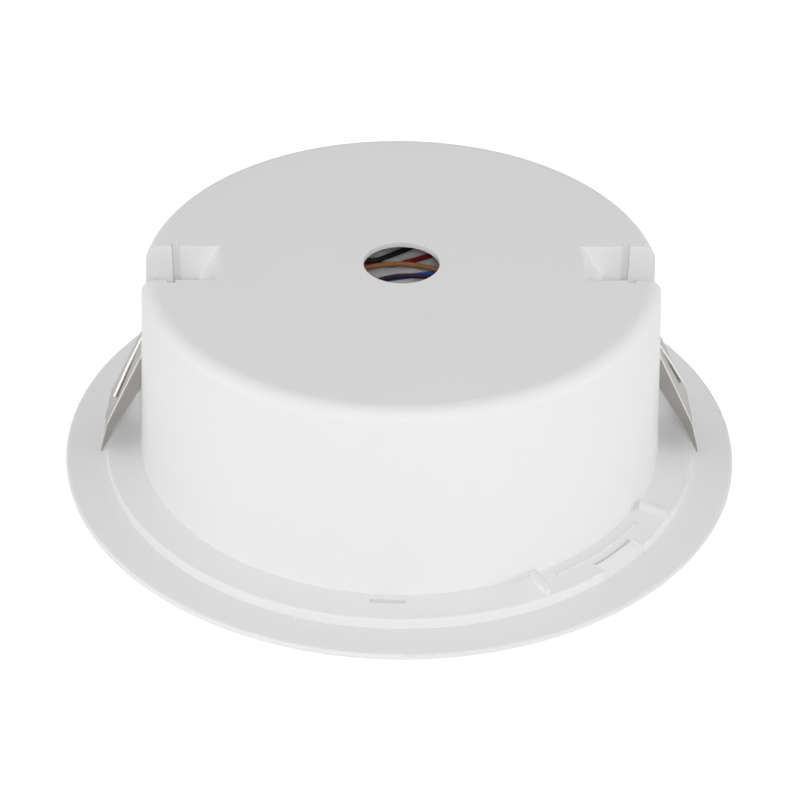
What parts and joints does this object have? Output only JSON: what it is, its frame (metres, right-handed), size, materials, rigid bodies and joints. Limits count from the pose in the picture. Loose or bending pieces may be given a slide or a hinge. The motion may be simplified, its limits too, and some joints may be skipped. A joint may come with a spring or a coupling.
{
  "type": "in-ceiling loudspeaker",
  "caption": "Round flush-mount ceiling loudspeaker with a white plastic can, flange and collar, cable hole, and sprung steel clips in recesses at both sides.",
  "frame": {"origin": "centre of the front rim's plane, on the loudspeaker's axis", "axes": "+Z along the axis from the front grille towards the back of the can, +X through the right-hand clip"},
  "size_m": [0.2, 0.2, 0.0646],
  "materials": {
    "cover_plastic": "fine moulded satin",
    "grille_paint": "satin powder coat",
    "clip_steel": "plated, satin",
    "spring_steel": "bright drawn wire",
    "basket_steel": "satin black",
    "plated_steel": "zinc plated",
    "ferrite": "matt ceramic",
    "cone_paper": "matt pressed paper",
    "edge_rubber": "matt",
    "spider_cloth": "resin-dipped cloth",
    "gasket_foam": "matt foam",
    "former_foil": "thin foil",
    "copper": "enamelled wire",
    "tag_board": "phenolic board",
    "tag_metal": "tinned",
    "core_steel": "varnished laminations",
    "bobbin_nylon": "natural nylon",
    "block_nylon": "natural nylon",
    "lead_black": "smooth sleeving",
    "lead_red": "smooth sleeving",
    "lead_brown": "smooth sleeving",
    "lead_blue": "smooth sleeving",
    "lead_violet": "smooth sleeving"
  },
  "bodies": {
    "housing": {"front_bezel": "cover_plastic", "grille": "grille_paint", "back_cover": "cover_plastic", "gasket": "gasket_foam", "basket": "basket_steel", "surround": "edge_rubber", "spider": "spider_cloth", "top_plate": "plated_steel", "magnet": "ferrite", "back_plate": "plated_steel", "driver_screws": "plated_steel", "tag_board": "tag_board", "terminal_tags": "tag_metal", "tinsel_leads": "copper", "mounting_strap": "plated_steel", "strap_screws": "plated_steel", "transformer_core": "core_steel", "transformer_bobbin": "bobbin_nylon", "transformer_winding": "copper", "terminal_block": "block_nylon", "terminal_screws": "plated_steel", "clip_pin_right": "spring_steel", "clip_pin_left": "spring_steel", "lead_black": "lead_black", "lead_red": "lead_red", "lead_brown": "lead_brown", "lead_blue": "lead_blue", "lead_violet": "lead_violet"},
    "clip_left": {"clip_arm_left": "clip_steel", "clip_spring_left": "spring_steel"},
    "clip_right": {"clip_arm_right": "clip_steel", "clip_spring_right": "spring_steel"},
    "cone_assembly": {"cone": "cone_paper", "dust_cap": "cone_paper", "coil_former": "former_foil", "coil_winding": "copper"}
  },
  "joints": [
    {"name": "clip_left_hinge", "type": "hinge", "parent": "housing", "child": "clip_left", "pos_m": [-0.0654, 0, 0.048], "axis": [0, 1, 0], "range_deg": [0, 160], "stiffness_Nm_per_rad": 0.06, "springref_deg": -57.3, "deforming": ["clip_spring_left"]},
    {"name": "clip_right_hinge", "type": "hinge", "parent": "housing", "child": "clip_right", "pos_m": [0.0654, 0, 0.048], "axis": [0, -1, 0], "range_deg": [0, 160], "stiffness_Nm_per_rad": 0.06, "springref_deg": -57.3, "deforming": ["clip_spring_right"]},
    {"name": "cone_travel", "type": "slide", "parent": "housing", "child": "cone_assembly", "axis": [0, 0, 1], "range_m": [-0.0015, 0.0015], "stiffness_N_per_m": 1500, "deforming": ["surround", "spider", "tinsel_leads"]}
  ]
}
